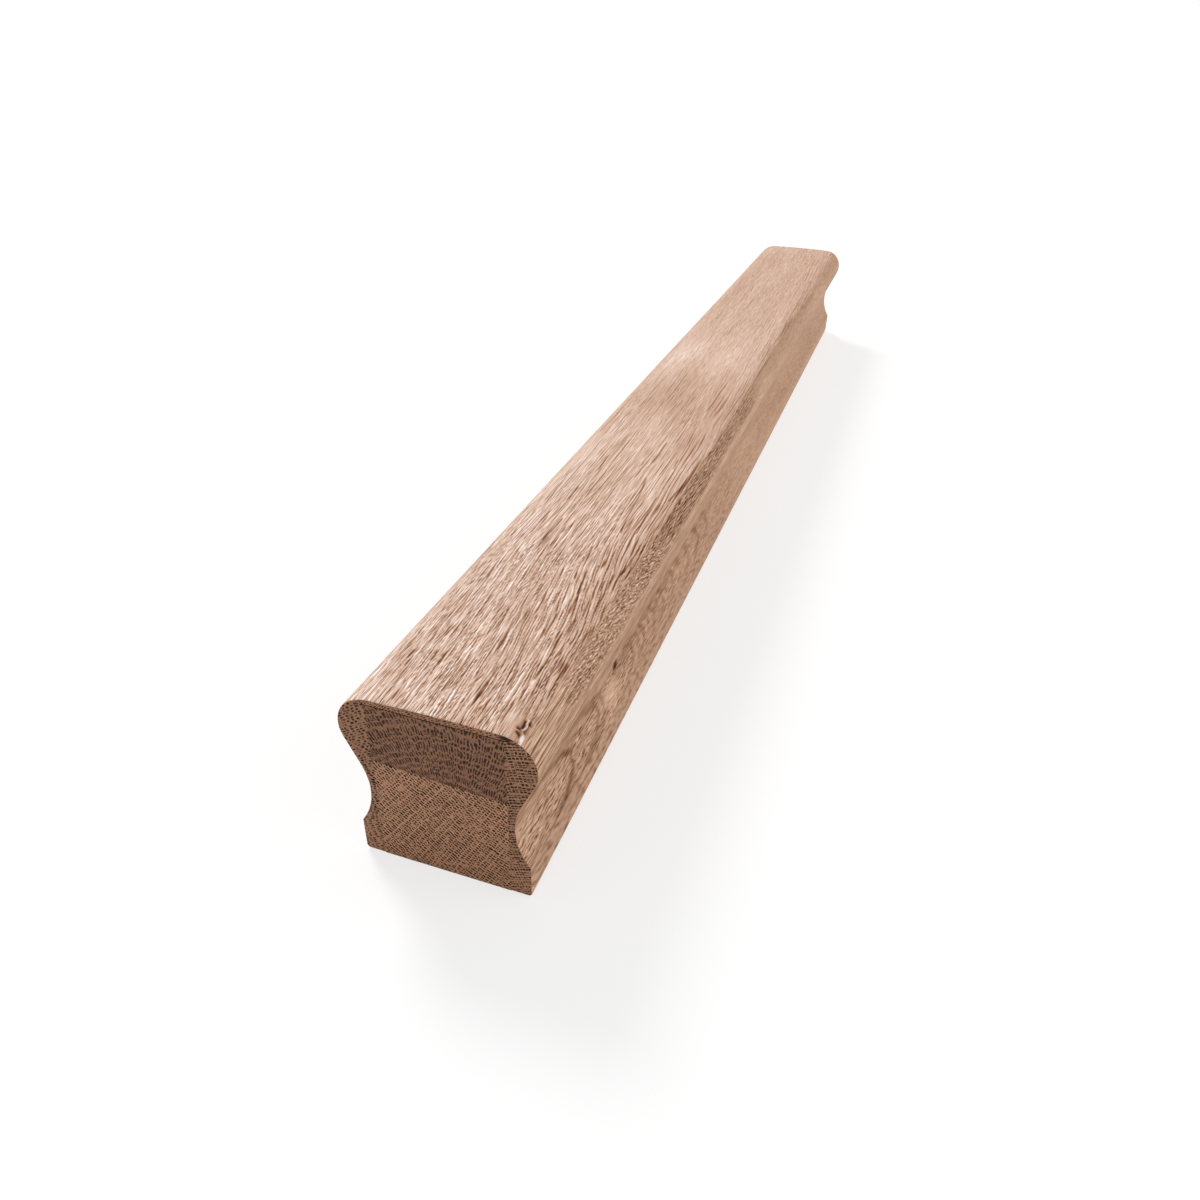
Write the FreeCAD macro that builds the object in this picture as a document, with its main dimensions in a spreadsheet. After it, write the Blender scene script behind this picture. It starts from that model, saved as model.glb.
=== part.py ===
import FreeCAD, Part
import Sketcher
import math
import os

# A length of stair handrail: five oak boards glued into one block, then moulded to one section.
# The rail lies on its flat base. +X runs along it, +Y is its left side and +Z is up.
# The origin is at the middle of the base. Lengths are in millimetres and angles in degrees.

DRIVING_SIZES = {
    "rail_length": "550",  # sawn square at both ends
    "rail_width": "57",  # across the shoulders, the widest place
    "base_setback": "2.8",  # each upright base side, inside the shoulder's widest line
    "groove_depth": "6.9",  # the finger groove's deepest line, inside the shoulder's widest line
    "base_height": "11.1",  # the upright base side, up to its crisp corner
    "cove_rise": "12.9",  # from that corner up to the groove's deepest line
    "grip_rise": "21.5",  # from the deepest line up to the shoulder's widest line
    "flank_angle": "25.5",  # the straight flank under the shoulder, from the upright
    "shoulder_radius": "10.5",
    "crown_rise": "0.3",  # the middle of the top, above the top of the shoulder arcs
    "base_arris": "1.2",  # rounding of the two bottom edges
    "top_cover": "2.2",  # the top board's thickness under the crown
    "neck_cover": "2.1",  # a side board's thickness at the groove's deepest line
    "core_seam_height": "33.8",  # the seam between the two core boards, at the middle
    "core_seam_tilt": "3.8",  # how far that seam climbs towards the left side
}

doc = FreeCAD.newDocument("stair_handrail")

# The sheet of driving sizes
sheet = doc.addObject("Spreadsheet::Sheet", "sizes")
for row, (alias, text) in enumerate(DRIVING_SIZES.items(), start=1):
    sheet.set(f"A{row}", alias)
    sheet.set(f"B{row}", text)
    sheet.setAlias(f"B{row}", alias)
doc.recompute()

# Sizes that follow from the driving ones, as expressions that bind the sketches and boards
BASE_HALF = "(sizes.rail_width / 2 - sizes.base_setback)"
NECK_HALF = "(sizes.rail_width / 2 - sizes.groove_depth)"
NECK_HEIGHT = "(sizes.base_height + sizes.cove_rise)"
SHOULDER_HEIGHT = f"({NECK_HEIGHT} + sizes.grip_rise)"
RAIL_HEIGHT = f"({SHOULDER_HEIGHT} + sizes.shoulder_radius + sizes.crown_rise)"
TOP_SEAM_HEIGHT = f"({RAIL_HEIGHT} - sizes.top_cover)"
CORE_HALF = f"({NECK_HALF} - sizes.neck_cover)"
SEAM_CLIMB = f"({CORE_HALF} * tan(sizes.core_seam_tilt))"
SEAM_LEFT = f"(sizes.core_seam_height + {SEAM_CLIMB})"
SEAM_RIGHT = f"(sizes.core_seam_height - {SEAM_CLIMB})"

# The same sizes as numbers, which place each sketch's lines before its constraints hold them
half_width = sheet.rail_width / 2
base_half = half_width - sheet.base_setback
neck_half = half_width - sheet.groove_depth
neck_height = sheet.base_height + sheet.cove_rise
shoulder_height = neck_height + sheet.grip_rise
shoulder_middle = half_width - sheet.shoulder_radius
rail_height = shoulder_height + sheet.shoulder_radius + sheet.crown_rise
top_seam_height = rail_height - sheet.top_cover
core_half = neck_half - sheet.neck_cover
seam_climb = core_half * math.tan(math.radians(sheet.core_seam_tilt))

# Numbers that stand for a whole edge, its two ends and its middle, and for a section's origin
WHOLE, START, END, MIDDLE = range(4)
SKETCH_ORIGIN = (-1, START)


def point(across, height):
    return FreeCAD.Vector(across, height, 0)


def add_body(name, label):
    body = doc.addObject("PartDesign::Body", name)
    body.Label = label
    return body


def add_cross_section(body, name):
    """A sketch across the rail: its level axis is +Y and its upright axis is +Z."""
    sketch = body.newObject("Sketcher::SketchObject", name)
    across_plane = [plane for plane in body.Origin.OriginFeatures if plane.Role == "YZ_Plane"][0]
    sketch.AttachmentSupport = [(across_plane, "")]
    sketch.MapMode = "FlatFace"
    return sketch


def bind(sketch, name, expression, *constraint):
    """Adds a dimension at its drawn value, then ties it to the sheet."""
    index = sketch.addConstraint(Sketcher.Constraint(*constraint))
    sketch.renameConstraint(index, name)
    sketch.setExpression(f"Constraints.{name}", expression)


def pad_along_rail(body, sketch, name):
    pad = body.newObject("PartDesign::Pad", name)
    pad.Profile = sketch
    pad.SideType = "Symmetric"
    pad.setExpression("Length", "sizes.rail_length")
    body.Tip = pad


# The moulded section, drawn one side at a time
def arc_on_side(side, centre, radius, first_angle, last_angle):
    """An arc that runs from first to last on the left side, mirrored on the right side."""
    across, height = centre
    if side < 0:
        first_angle, last_angle = math.pi - last_angle, math.pi - first_angle
    circle = Part.Circle(point(side * across, height), FreeCAD.Vector(0, 0, 1), radius)
    return Part.ArcOfCircle(circle, first_angle, last_angle)


def line_on_side(side, start, end):
    return Part.LineSegment(point(side * start[0], start[1]), point(side * end[0], end[1]))


flank = math.radians(sheet.flank_angle)
flank_across = math.sin(flank)
flank_up = math.cos(flank)
groove_to_base = base_half - neck_half
lower_cove_radius = (groove_to_base**2 + sheet.cove_rise**2) / (2 * groove_to_base)
lower_cove_middle = neck_half + lower_cove_radius
base_corner_angle = math.pi + math.atan2(sheet.cove_rise, lower_cove_middle - base_half)
flank_reach = (sheet.groove_depth - sheet.shoulder_radius) * flank_up + sheet.shoulder_radius
upper_cove_rise = sheet.grip_rise - flank_reach / flank_across
upper_cove_radius = upper_cove_rise / math.tan(flank / 2)
flank_foot = (
    neck_half + upper_cove_rise * flank_across,
    neck_height + upper_cove_rise * (1 + flank_up),
)
flank_head = (
    shoulder_middle + sheet.shoulder_radius * flank_up,
    shoulder_height - sheet.shoulder_radius * flank_across,
)
crown_to_shoulder = sheet.shoulder_radius + sheet.crown_rise
crown_radius = shoulder_middle**2 + crown_to_shoulder**2 - sheet.shoulder_radius**2
crown_radius /= 2 * sheet.crown_rise
crown_middle_height = rail_height - crown_radius
crown_edge_angle = math.atan2(shoulder_height - crown_middle_height, shoulder_middle)


def draw_side(sketch, side, bottom, crown):
    """Draws one side's arris, base side, groove, flank and shoulder between the bottom and the crown."""
    word = "left" if side > 0 else "right"
    first, last = (START, END) if side > 0 else (END, START)
    arris_middle = (base_half - sheet.base_arris, sheet.base_arris)
    arris = sketch.addGeometry(arc_on_side(side, arris_middle, sheet.base_arris, -math.pi / 2, 0))
    base_side = sketch.addGeometry(
        line_on_side(side, (base_half, sheet.base_arris), (base_half, sheet.base_height))
    )
    lower_cove = sketch.addGeometry(
        arc_on_side(side, (lower_cove_middle, neck_height), lower_cove_radius, math.pi, base_corner_angle)
    )
    upper_cove = sketch.addGeometry(
        arc_on_side(
            side, (neck_half + upper_cove_radius, neck_height), upper_cove_radius, math.pi - flank, math.pi
        )
    )
    flank_line = sketch.addGeometry(line_on_side(side, flank_foot, flank_head))
    shoulder = sketch.addGeometry(
        arc_on_side(
            side, (shoulder_middle, shoulder_height), sheet.shoulder_radius, -flank, crown_edge_angle
        )
    )
    # Where each edge meets the next: smooth everywhere but at the crisp base corner
    bottom_end = END if side > 0 else START
    crown_end = START if side > 0 else END
    sketch.addConstraint(Sketcher.Constraint("Tangent", bottom, bottom_end, arris, first))
    sketch.addConstraint(Sketcher.Constraint("Tangent", arris, last, base_side, START))
    sketch.addConstraint(Sketcher.Constraint("Coincident", base_side, END, lower_cove, last))
    sketch.addConstraint(Sketcher.Constraint("Tangent", lower_cove, first, upper_cove, last))
    sketch.addConstraint(Sketcher.Constraint("Tangent", upper_cove, first, flank_line, START))
    sketch.addConstraint(Sketcher.Constraint("Tangent", flank_line, END, shoulder, first))
    sketch.addConstraint(Sketcher.Constraint("Tangent", shoulder, last, crown, crown_end))
    sketch.addConstraint(Sketcher.Constraint("Vertical", base_side))
    sketch.addConstraint(Sketcher.Constraint("Horizontal", lower_cove, MIDDLE, lower_cove, first))

    def bind_across(name, expression, edge, end, value):
        ends = (*SKETCH_ORIGIN, edge, end) if side > 0 else (edge, end, *SKETCH_ORIGIN)
        bind(sketch, f"{word}_{name}", expression, "DistanceX", *ends, value)

    def bind_height(name, expression, edge, end, value):
        bind(sketch, f"{word}_{name}", expression, "DistanceY", *SKETCH_ORIGIN, edge, end, value)

    bind(sketch, f"{word}_arris", "sizes.base_arris", "Radius", arris, sheet.base_arris)
    bind(sketch, f"{word}_shoulder", "sizes.shoulder_radius", "Radius", shoulder, sheet.shoulder_radius)
    bind_across("base_half", BASE_HALF, base_side, END, base_half)
    bind_height("base_height", "sizes.base_height", base_side, END, sheet.base_height)
    bind_across("neck_half", NECK_HALF, lower_cove, first, neck_half)
    bind_height("neck_height", NECK_HEIGHT, lower_cove, first, neck_height)
    shoulder_across = "sizes.rail_width / 2 - sizes.shoulder_radius"
    bind_across("shoulder_middle", shoulder_across, shoulder, MIDDLE, shoulder_middle)
    bind_height("shoulder_height", SHOULDER_HEIGHT, shoulder, MIDDLE, shoulder_height)
    lean = "90 - sizes.flank_angle" if side > 0 else "90 + sizes.flank_angle"
    bind(sketch, f"{word}_flank", lean, "Angle", flank_line, math.pi / 2 - side * flank)


def mould_block():
    """The whole rail in one solid, as the moulding cutters leave the glued block."""
    body = add_body("Moulding", "moulded_block")
    sketch = add_cross_section(body, "MouldedSection")
    foot = base_half - sheet.base_arris
    bottom = sketch.addGeometry(Part.LineSegment(point(-foot, 0), point(foot, 0)))
    crown_circle = Part.Circle(point(0, crown_middle_height), FreeCAD.Vector(0, 0, 1), crown_radius)
    crown = sketch.addGeometry(Part.ArcOfCircle(crown_circle, crown_edge_angle, math.pi - crown_edge_angle))
    summit = sketch.addGeometry(Part.Point(point(0, rail_height)), True)
    sketch.addConstraint(Sketcher.Constraint("Horizontal", bottom))
    sketch.addConstraint(Sketcher.Constraint("Horizontal", *SKETCH_ORIGIN, bottom, START))
    sketch.addConstraint(Sketcher.Constraint("Vertical", *SKETCH_ORIGIN, summit, START))
    sketch.addConstraint(Sketcher.Constraint("PointOnObject", summit, START, crown))
    bind(sketch, "rail_height", RAIL_HEIGHT, "DistanceY", *SKETCH_ORIGIN, summit, START, rail_height)
    for side in (1, -1):
        draw_side(sketch, side, bottom, crown)
    pad_along_rail(body, sketch, "MouldedLength")
    return body


# The two core boards, which the other boards hide except at the ends and the base
def add_core_board(name, label, lower_seam, upper_seam):
    """A board between two seams, each given as its left and right heights in numbers and expressions."""
    body = add_body(name, label)
    sketch = add_cross_section(body, f"{name}Section")
    (low_left, low_left_text), (low_right, low_right_text) = lower_seam
    (high_left, high_left_text), (high_right, high_right_text) = upper_seam
    corners = [
        point(-core_half, low_right),
        point(core_half, low_left),
        point(core_half, high_left),
        point(-core_half, high_right),
    ]
    edges = []
    for here, there in zip(corners, corners[1:] + corners[:1]):
        edges.append(sketch.addGeometry(Part.LineSegment(here, there)))
    for edge, following in zip(edges, edges[1:] + edges[:1]):
        sketch.addConstraint(Sketcher.Constraint("Coincident", edge, END, following, START))
    lower_edge, left_edge, upper_edge, right_edge = edges
    sketch.addConstraint(Sketcher.Constraint("Vertical", left_edge))
    sketch.addConstraint(Sketcher.Constraint("Vertical", right_edge))
    bind(sketch, "left_face", CORE_HALF, "DistanceX", *SKETCH_ORIGIN, left_edge, START, core_half)
    bind(sketch, "right_face", CORE_HALF, "DistanceX", right_edge, END, *SKETCH_ORIGIN, core_half)
    bind(sketch, "low_left", low_left_text, "DistanceY", *SKETCH_ORIGIN, lower_edge, END, low_left)
    bind(sketch, "low_right", low_right_text, "DistanceY", *SKETCH_ORIGIN, lower_edge, START, low_right)
    bind(sketch, "high_left", high_left_text, "DistanceY", *SKETCH_ORIGIN, upper_edge, START, high_left)
    bind(sketch, "high_right", high_right_text, "DistanceY", *SKETCH_ORIGIN, upper_edge, END, high_right)
    pad_along_rail(body, sketch, f"{name}Length")
    return body


# The three face boards, each cut to the moulded section where it shows
def add_face_board(name, label, moulding, low_across, low_height, height):
    """A rough board glued on with spare thickness outside the section, then moulded."""
    rough = doc.addObject("Part::Box", f"{name}Rough")
    rough.setExpression("Length", "sizes.rail_length")
    rough.setExpression("Width", "sizes.rail_width")
    rough.setExpression("Height", height)
    rough.setExpression("Placement.Base.x", "-sizes.rail_length / 2")
    rough.setExpression("Placement.Base.y", low_across)
    rough.setExpression("Placement.Base.z", low_height)
    board = doc.addObject("Part::Common", name)
    board.Base = moulding
    board.Tool = rough
    board.Label = label
    return board


floor_seam = ((0.0, "0"), (0.0, "0"))
core_seam = (
    (sheet.core_seam_height + seam_climb, SEAM_LEFT),
    (sheet.core_seam_height - seam_climb, SEAM_RIGHT),
)
top_seam = ((top_seam_height, TOP_SEAM_HEIGHT), (top_seam_height, TOP_SEAM_HEIGHT))

moulding = mould_block()
boards = [
    add_core_board("LowerCore", "lower_core_board", floor_seam, core_seam),
    add_core_board("UpperCore", "upper_core_board", core_seam, top_seam),
    add_face_board("LeftFace", "left_face_board", moulding, CORE_HALF, "0", TOP_SEAM_HEIGHT),
    add_face_board(
        "RightFace", "right_face_board", moulding, f"-{CORE_HALF} - sizes.rail_width", "0", TOP_SEAM_HEIGHT
    ),
    add_face_board(
        "TopFace", "top_face_board", moulding, "-sizes.rail_width / 2", TOP_SEAM_HEIGHT, RAIL_HEIGHT
    ),
]
doc.recompute()

# Nothing is written unless every object and every board came out whole
for item in doc.Objects:
    if "Invalid" in item.State or "Error" in item.State:
        raise RuntimeError(f"{item.Label} failed: {item.State}")
for board in boards:
    if board.Shape.isNull() or not board.Shape.isValid() or len(board.Shape.Solids) != 1:
        raise RuntimeError(f"{board.Label} is not one valid solid")

os.makedirs("parts", exist_ok=True)
for board in boards:
    board.Shape.exportStep(f"parts/{board.Label}.step")
    print(board.Label, "volume", round(board.Shape.Volume), "mm3")
print("moulded block volume", round(moulding.Shape.Volume), "mm3, height", round(rail_height, 2), "mm")
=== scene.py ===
# %% [markdown]
# # A length of moulded oak handrail
#
# This rail is a straight offcut of a stair handrail. Five oak boards are glued into a
# blank, a moulding machine cuts the grip into it, and a saw squares off the two ends.
# The CAD model already has the shape. Here it gets what makes it oak: open grain that
# can be felt, growth rings and pores on the sawn ends, and a small broken corner.
# The first lines load the CAD model as a frame that stays where it is.

# %% Load the frame
import math
import bpy
import numpy as np
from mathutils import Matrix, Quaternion, Vector


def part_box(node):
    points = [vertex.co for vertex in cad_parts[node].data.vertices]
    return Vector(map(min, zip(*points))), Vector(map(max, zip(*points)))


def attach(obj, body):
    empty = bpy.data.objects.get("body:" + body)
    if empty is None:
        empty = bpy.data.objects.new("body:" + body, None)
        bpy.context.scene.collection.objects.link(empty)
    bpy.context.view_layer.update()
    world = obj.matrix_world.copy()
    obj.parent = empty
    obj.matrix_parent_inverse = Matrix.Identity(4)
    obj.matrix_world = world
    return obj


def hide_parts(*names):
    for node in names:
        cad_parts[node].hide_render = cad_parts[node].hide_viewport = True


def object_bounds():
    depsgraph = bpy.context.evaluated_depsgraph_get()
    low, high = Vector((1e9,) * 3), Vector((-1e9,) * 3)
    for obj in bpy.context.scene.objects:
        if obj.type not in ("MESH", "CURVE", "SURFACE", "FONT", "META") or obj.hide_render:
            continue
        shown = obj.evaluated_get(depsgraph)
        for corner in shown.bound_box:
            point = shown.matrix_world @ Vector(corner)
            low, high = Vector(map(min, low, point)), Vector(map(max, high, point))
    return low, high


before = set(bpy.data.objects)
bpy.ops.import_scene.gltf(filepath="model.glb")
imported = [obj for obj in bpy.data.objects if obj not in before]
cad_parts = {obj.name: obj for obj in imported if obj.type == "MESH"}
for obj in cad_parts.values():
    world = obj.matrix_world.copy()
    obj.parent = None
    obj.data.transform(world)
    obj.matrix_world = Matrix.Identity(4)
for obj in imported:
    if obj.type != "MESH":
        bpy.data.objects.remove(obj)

cad_low, cad_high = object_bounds()
print("boards in the frame:", sorted(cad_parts))
print("CAD box in mm:", [round(v * 1000, 2) for v in (*cad_low, *cad_high)])

# %% [markdown]
# ## The camera
#
# The picture was taken from close by with a wide lens, so the near end looks large and
# the far end small. A camera can be placed by eye, but a rail has long straight edges
# that show every error. Its place and lens were therefore worked out from where the
# edges of the rail meet the picture, and are written here as plain numbers.

# %% Place the camera
view_azimuth, view_elevation, view_roll = map(math.radians, (-70.997, 32.979, -1.122))
camera_place = (-0.42994, -0.09679, 0.20674)
sensor_mm, picture_pixels, focal_pixels = 36.0, 1200, 937.2
camera_data = bpy.data.cameras.new("camera")
camera_data.sensor_width = sensor_mm
camera_data.lens = sensor_mm * focal_pixels / picture_pixels
camera_data.clip_start = 0.01
camera = bpy.data.objects.new("camera", camera_data)
bpy.context.scene.collection.objects.link(camera)
camera.location = camera_place
towards_camera = Vector((
    math.sin(view_azimuth) * math.cos(view_elevation),
    -math.cos(view_azimuth) * math.cos(view_elevation),
    math.sin(view_elevation)))
camera.rotation_mode = "QUATERNION"
camera.rotation_quaternion = (
    towards_camera.to_track_quat("Z", "Y") @ Quaternion((0, 0, 1), -view_roll))
bpy.context.scene.camera = camera
print("lens in mm:", round(camera_data.lens, 2))

# %% [markdown]
# ## Building materials from nodes
#
# A material is a small network of nodes. Five short helpers keep the networks readable:
# one adds a node and fills or links its inputs, one does a sum, one eases a value from 0
# to 1 between two limits, one mixes two colours, and one takes a colour as it is picked
# on screen.

# %% Node helpers
def add(tree, kind, inputs=(), **settings):
    """Adds a shader node. inputs is a list in socket order, or a dict by socket name or number."""
    node = tree.nodes.new("ShaderNode" + kind)
    for key, value in settings.items():
        setattr(node, key, value)
    for key, value in inputs.items() if isinstance(inputs, dict) else enumerate(inputs):
        if isinstance(value, bpy.types.NodeSocket):
            tree.links.new(value, node.inputs[key])
        else:
            node.inputs[key].default_value = value
    return node


def sum_of(tree, operation, *values):
    """The result of one Math node."""
    return add(tree, "Math", values, operation=operation).outputs[0]


def ease(tree, value, low, high):
    """0 below low, 1 above high and smooth between them; low may be the larger of the two."""
    return add(tree, "MapRange", [value, low, high], interpolation_type="SMOOTHSTEP").outputs[0]


def blend(tree, share, first, second, mode="MIX"):
    """A colour between two others."""
    node = add(tree, "Mix", {0: share, 6: first, 7: second}, data_type="RGBA", blend_type=mode)
    return node.outputs[2]


def srgb(red, green, blue):
    """A colour picked on screen, 0 to 255, as the linear values that a shader wants."""
    parts = [c / 255 for c in (red, green, blue)]
    return (*[c / 12.92 if c <= 0.04045 else ((c + 0.055) / 1.055) ** 2.4 for c in parts], 1.0)


# %% [markdown]
# ## Floor, sky and lamps
#
# The rail lies on a plain white table under soft light from a window behind it on the
# left: the top is bright, the right side is calmer, and the sawn end that faces us is in
# shade. Two wide suns and a pale sky do that. The camera sees the sky as pure white, and
# the floor keeps a faint shadow so that the rail lies on something.

# %% Floor
floor_half, floor_gap = 60.0, 0.0002
floor_mesh = bpy.data.meshes.new("floor")
floor_mesh.from_pydata(
    [(-floor_half, -floor_half, 0), (floor_half, -floor_half, 0),
     (floor_half, floor_half, 0), (-floor_half, floor_half, 0)], [], [(0, 1, 2, 3)])
floor = bpy.data.objects.new("floor", floor_mesh)
floor.location.z = -floor_gap
bpy.context.scene.collection.objects.link(floor)

floor_paint = bpy.data.materials.new("white_table")
floor_paint.use_nodes = True
tree = floor_paint.node_tree
lit_grey, seen_grey, seen_glow = (0.9, 0.9, 0.9, 1), (0.34, 0.34, 0.34, 1), 0.68
rays = add(tree, "LightPath")
table_white = blend(tree, rays.outputs["Is Camera Ray"], lit_grey, seen_grey)
glow = sum_of(tree, "MULTIPLY", rays.outputs["Is Camera Ray"], seen_glow)
shader = tree.nodes["Principled BSDF"]
tree.links.new(table_white, shader.inputs["Base Color"])
shader.inputs["Roughness"].default_value = 0.9
shader.inputs["Specular IOR Level"].default_value = 0.1
shader.inputs["Emission Color"].default_value = (1, 1, 1, 1)
tree.links.new(glow, shader.inputs["Emission Strength"])
floor_mesh.materials.append(floor_paint)
print("floor:", floor.name, "with", floor_paint.name)

# %% Sky
sky = bpy.data.worlds.new("pale_sky")
bpy.context.scene.world = sky
sky.use_nodes = True
tree = sky.node_tree
rays = add(tree, "LightPath")
seen = sum_of(tree, "MAXIMUM", rays.outputs["Is Camera Ray"], rays.outputs["Is Glossy Ray"])
seen = sum_of(tree, "MAXIMUM", seen, rays.outputs["Is Transmission Ray"])
sky_light = 0.50
strength = add(tree, "MapRange", [seen, 0.0, 1.0, sky_light, 1.0]).outputs[0]
background = tree.nodes["Background"]
background.inputs["Color"].default_value = (1, 1, 1, 1)
tree.links.new(strength, background.inputs["Strength"])
bpy.context.scene.view_settings.view_transform = "Standard"
print("sky:", sky.name, "at", sky_light)


# %% Lamps
def soft_sun(name, towards, level, softness):
    """A sun that lights a facing surface to a share of its colour; softness is in degrees."""
    data = bpy.data.lights.new(name, "SUN")
    data.energy = level * math.pi
    data.angle = math.radians(softness)
    lamp = bpy.data.objects.new(name, data)
    lamp.rotation_mode = "QUATERNION"
    lamp.rotation_quaternion = Vector(towards).to_track_quat("Z", "Y")
    bpy.context.scene.collection.objects.link(lamp)
    return lamp


window = soft_sun("window_light", (0.60, 0.68, 0.78), 0.60, 18)
fill = soft_sun("fill_light", (0.10, -0.85, 0.55), 0.22, 60)
print("lamps:", window.name, fill.name)

# %% [markdown]
# ## The moulded section
#
# Cut across, the rail is a bread-loaf grip on a narrower base: a nearly flat crown, two
# round shoulders, flanks that lean in to a finger groove on each side, and a square foot
# with eased bottom corners. The outline is a chain of arcs and lines. The few sizes here
# are the ones that the CAD model is driven by, in millimetres, and the rest is read from
# the frame. Points are laid close together, because the grain will be cut into them.

# %% Sizes in millimetres
rail_length = (cad_high.x - cad_low.x) * 1000
half_width = round(cad_high.y * 1000, 1)
core_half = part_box("upper_core_board")[1].y * 1000
top_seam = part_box("top_face_board")[0].z * 1000
base_setback, groove_depth = 2.8, 6.9
base_half = half_width - base_setback
neck_half = half_width - groove_depth
base_height, neck_height, shoulder_height = 11.1, 24.0, 45.5
shoulder_radius, base_arris, crown_rise, flank_angle = 10.5, 1.2, 0.3, 25.5

shoulder = (half_width - shoulder_radius, shoulder_height)
lean = math.radians(flank_angle)
crown_drop = shoulder_radius + crown_rise
crown_radius = (shoulder[0] ** 2 + crown_drop ** 2 - shoulder_radius ** 2) / (2 * crown_rise)
crown = (0.0, shoulder_height + crown_drop - crown_radius)
crown_edge = math.degrees(math.atan2(shoulder[1] - crown[1], shoulder[0]))
meeting = shoulder_height - (
    (shoulder_radius - groove_depth) * -math.cos(lean) + shoulder_radius) / math.sin(lean)
upper_cove = (meeting - neck_height) / math.tan(lean / 2)
lower_cove = ((base_half - neck_half) ** 2 + (neck_height - base_height) ** 2) / (
    2 * (base_half - neck_half))
print("crown radius", round(crown_radius, 1), "cove radii", round(upper_cove, 2), round(lower_cove, 2))


# %% Outline pieces
point_step = 0.26


def arc(centre, radius, start, stop, fine=1.0):
    """Points along an arc, from one angle in degrees to another; fine packs them closer."""
    count = max(3, round(abs(math.radians(stop - start)) * radius * fine / point_step) + 1)
    turn = np.radians(np.linspace(start, stop, count))
    return np.column_stack([centre[0] + radius * np.cos(turn), centre[1] + radius * np.sin(turn)])


def straight(start, stop, fine=1.0):
    """Points along a line."""
    start, stop = np.array(start), np.array(stop)
    count = max(2, round(float(np.linalg.norm(stop - start)) * fine / point_step) + 1)
    return start + (stop - start) * np.linspace(0, 1, count)[:, None]


def chain(*runs):
    """Runs joined end to end, with each shared point kept once."""
    return np.vstack([runs[0]] + [run[1:] for run in runs[1:]])


seam_turn = math.degrees(math.asin((top_seam - shoulder_height) / shoulder_radius))
flank_head = arc(shoulder, shoulder_radius, 0, -flank_angle)[-1]
flank_foot = arc((neck_half + upper_cove, neck_height), upper_cove, 180, 180 - flank_angle)[-1]
base_turn = 180 + math.degrees(math.asin((neck_height - base_height) / lower_cove))
grip_run = chain(
    arc(shoulder, shoulder_radius, seam_turn, -flank_angle, 1.3),
    straight(flank_head, flank_foot, 0.7),
    arc((neck_half + upper_cove, neck_height), upper_cove, 180 - flank_angle, 180, 1.2),
    arc((neck_half + lower_cove, neck_height), lower_cove, 180, base_turn, 1.3))
side_skin = chain(
    grip_run,
    straight((base_half, base_height), (base_half, base_arris), 0.8),
    arc((base_half - base_arris, base_arris), base_arris, 0, -90),
    straight((base_half - base_arris, 0), (core_half, 0), 0.5))
base_corner = len(grip_run) - 1
half_crown = chain(
    arc(shoulder, shoulder_radius, seam_turn, crown_edge, 1.3),
    arc(crown, crown_radius, crown_edge, 90, 1.3))
top_skin = chain(half_crown, half_crown[::-1] * (-1, 1))
print("points across: side", len(side_skin), "top", len(top_skin))

# %% [markdown]
# ## Grain that can be felt
#
# Oak is ring-porous: each spring it grows wide pores, and where the planer cuts through
# them they stay open as grooves. On the top board they run the length of the rail in
# short ridges and furrows. A bump map would only fake them, so they are cut into the mesh
# itself. The pattern is smooth noise, stretched along the rail.

# %% Stretched noise
scramble_along, scramble_across, scramble_seed, scramble_size = 127.1, 311.7, 74.7, 43758.5453


def wood_noise(along, across, seed):
    """Smooth noise, about -1 to 1, over two coordinates that are already stretched."""
    cell_a, cell_b = np.floor(along), np.floor(across)
    part_a, part_b = along - cell_a, across - cell_b

    def corner(a, b):
        mixed = (cell_a + a) * scramble_along + (cell_b + b) * scramble_across + seed * scramble_seed
        mixed = np.sin(mixed) * scramble_size
        turn = 2 * np.pi * (mixed - np.floor(mixed))
        return np.cos(turn) * (part_a - a) + np.sin(turn) * (part_b - b)

    fade_a, fade_b = (p * p * p * (p * (6 * p - 15) + 10) for p in (part_a, part_b))
    near = corner(0, 0) * (1 - fade_a) + corner(1, 0) * fade_a
    far = corner(0, 1) * (1 - fade_a) + corner(1, 1) * fade_a
    return 1.5 * (near * (1 - fade_b) + far * fade_b)


def step(value, low, high):
    """0 below low, 1 above high and smooth between them."""
    t = np.clip((value - low) / (high - low), 0, 1)
    return t * t * (3 - 2 * t)


def patch(along, across, centre, reach):
    """A soft oval patch, 1 at its centre."""
    return np.exp(-((along - centre[0]) / reach[0]) ** 2 - ((across - centre[1]) / reach[1]) ** 2)


def patches(along, across, marks):
    """The sum of several soft patches, each given as its centre, its reach and its strength."""
    return sum(strength * patch(along, across, centre, reach) for centre, reach, strength in marks)


def furrows(along, line, pitch, length, seed, edge=0.3):
    """Parallel furrows, 0 to 1, that wander, fade and start again; a lower edge makes them wider."""
    wave = (line / pitch + 0.9 * wood_noise(along / (2 * length), line / (3 * pitch), seed)
            + 0.3 * wood_noise(along / (0.7 * length), line / (0.9 * pitch), seed + 1))
    kept = step(wood_noise(along / (0.8 * length), line / (1.1 * pitch), seed + 2), -0.45, 0.25)
    return step(np.cos(2 * np.pi * wave), edge, 0.95) * kept


# %% Stations along the rail
corner_zone, close_zone = 12.0, 112.0
corner_step, close_step, far_count = 0.3, 0.8, 195
stations = np.concatenate([
    [0.0, 0.2], np.arange(0.5, corner_zone, corner_step), np.arange(corner_zone, close_zone, close_step),
    np.linspace(close_zone, rail_length - 0.5, far_count), [rail_length - 0.2, rail_length]])
print("stations along the rail:", len(stations))


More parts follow.
